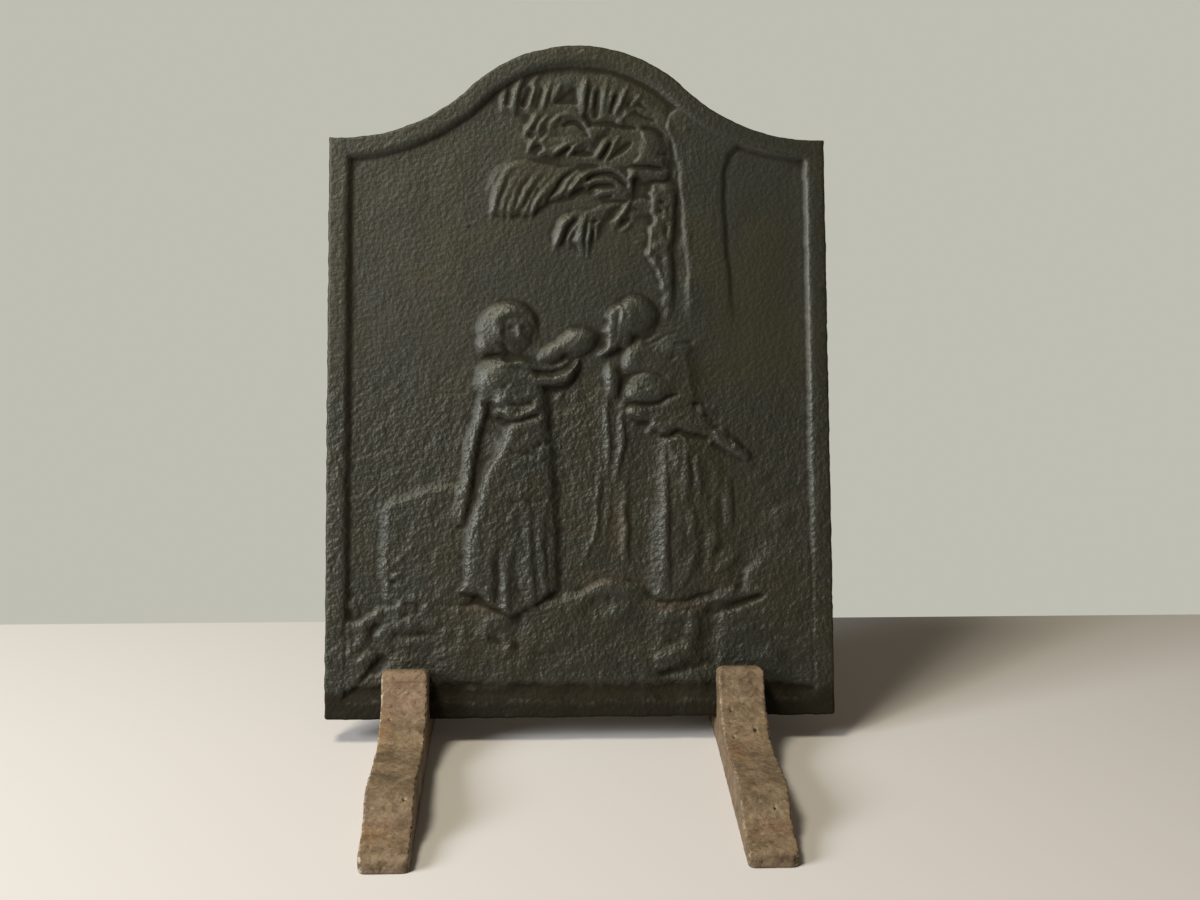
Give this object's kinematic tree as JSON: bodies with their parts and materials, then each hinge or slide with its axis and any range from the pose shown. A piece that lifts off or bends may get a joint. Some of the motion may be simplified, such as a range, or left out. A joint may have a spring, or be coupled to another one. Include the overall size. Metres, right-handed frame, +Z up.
{
  "type": "fireback",
  "caption": "Arched cast-iron fireback with a raised rim and a pictorial relief, leaning in the slots of loose cast feet.",
  "frame": {"origin": "on the floor, under the middle of the whole object's box", "axes": "+Z up, the relief and the toes face -Y, +X to the viewer's right"},
  "size_m": [0.4, 0.3552, 0.5419],
  "materials": {
    "plate_iron": "blackened sand casting, dull satin",
    "foot_iron": "brown rust over rough casting, matt"
  },
  "bodies": {
    "left_foot": {"left_foot": "foot_iron"},
    "plate": {"fireback_plate": "plate_iron"},
    "right_foot": {"right_foot": "foot_iron"}
  },
  "joints": [
    {"name": "plate_lift", "type": "slide", "parent": "left_foot", "child": "plate", "axis": [0, 0.2588, 0.9659], "range_m": [0, 0.12]},
    {"name": "right_foot_slide", "type": "slide", "parent": "left_foot", "child": "right_foot", "axis": [1, 0, 0], "range_m": [-0.18, 0.055]}
  ]
}
